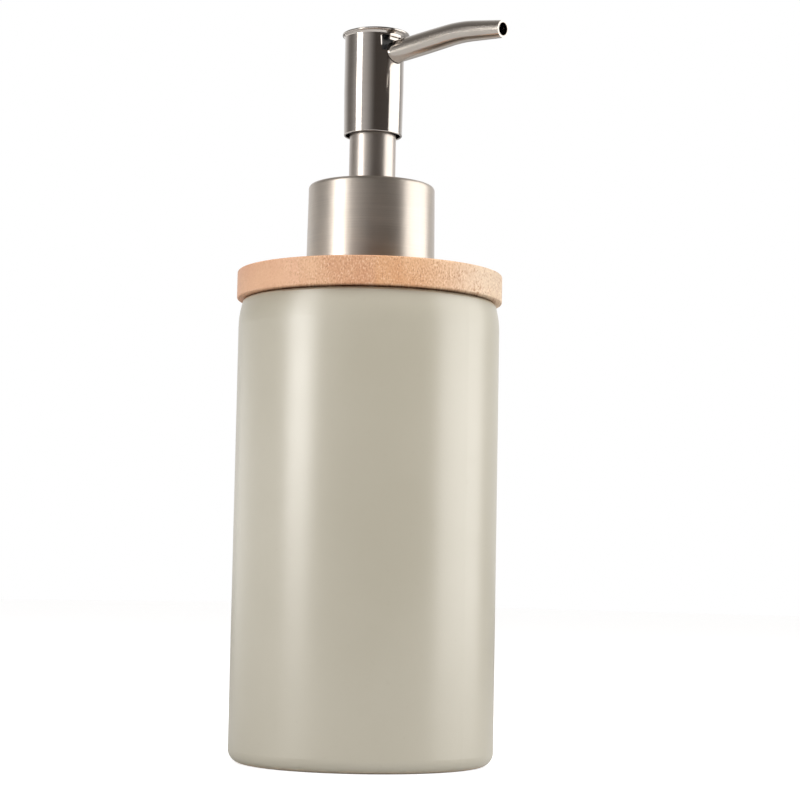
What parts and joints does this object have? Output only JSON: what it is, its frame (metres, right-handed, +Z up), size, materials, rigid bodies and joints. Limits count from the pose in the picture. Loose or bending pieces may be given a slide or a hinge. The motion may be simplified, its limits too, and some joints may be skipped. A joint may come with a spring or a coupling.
{
  "type": "soap pump dispenser",
  "caption": "Cylindrical ceramic bottle with a bamboo ring and a screw-on steel pump whose tube head slides down over a guide and gives soap through a bent spout.",
  "frame": {"origin": "centre of the bottle's foot ring, on the surface it stands on", "axes": "+Z up along the pump axis; +X the way the spout points at rest; the object is symmetric about the XZ plane except for its threads and spring"},
  "size_m": [0.0806, 0.0712, 0.1961],
  "materials": {
    "stoneware": "satin",
    "bamboo": "satin",
    "white_plastic": "satin",
    "brushed_steel": "satin",
    "soft_gasket": "matte",
    "natural_plastic": "satin",
    "dark_plastic": "satin",
    "polished_steel": "gloss",
    "steel_ball": "polished",
    "spring_steel": "satin",
    "soft_plastic": "matte",
    "satin_steel": "satin"
  },
  "bodies": {
    "bottle": {"ceramic_bottle": "stoneware", "bamboo_ring": "bamboo", "neck_insert": "white_plastic"},
    "pump": {"pump_housing": "natural_plastic", "chaplet": "white_plastic", "guide_sleeve": "polished_steel", "dip_tube": "natural_plastic", "neck_gasket": "soft_gasket", "ball_cage": "natural_plastic", "return_spring": "spring_steel"},
    "cap": {"screw_cap": "white_plastic", "collar_shell": "brushed_steel"},
    "plunger": {"piston": "soft_plastic", "piston_retainer": "natural_plastic"},
    "head": {"stem": "natural_plastic", "actuator_core": "dark_plastic", "head_shell": "polished_steel", "head_cap": "polished_steel", "spout_tube": "satin_steel"},
    "inlet_valve": {"inlet_ball": "steel_ball"},
    "outlet_valve": {"outlet_ball": "steel_ball"}
  },
  "joints": [
    {"name": "pump_lift", "type": "slide", "parent": "bottle", "child": "pump", "axis": [0, 0, 1], "range_m": [0, 0.00529]},
    {"name": "cap_turn", "type": "hinge", "parent": "pump", "child": "cap", "pos_m": [0, 0, 0.14], "axis": [0, 0, 1], "range_deg": [0, 450]},
    {"name": "plunger_press", "type": "slide", "parent": "pump", "child": "plunger", "axis": [0, 0, -1], "range_m": [0, 0.0125], "stiffness_N_per_m": 600, "springref_m": -0.008, "deforming": ["return_spring"]},
    {"name": "head_swivel", "type": "hinge", "parent": "plunger", "child": "head", "pos_m": [0, 0, 0.16], "axis": [0, 0, 1], "continuous": true},
    {"name": "inlet_ball_lift", "type": "slide", "parent": "pump", "child": "inlet_valve", "axis": [0, 0, 1], "range_m": [0, 0.0015]},
    {"name": "outlet_ball_lift", "type": "slide", "parent": "head", "child": "outlet_valve", "axis": [0, 0, 1], "range_m": [0, 0.0012]}
  ],
  "couplings": [
    {"joint": "pump_lift", "follows": "cap_turn", "m_per_rad": 0.00067375}
  ]
}
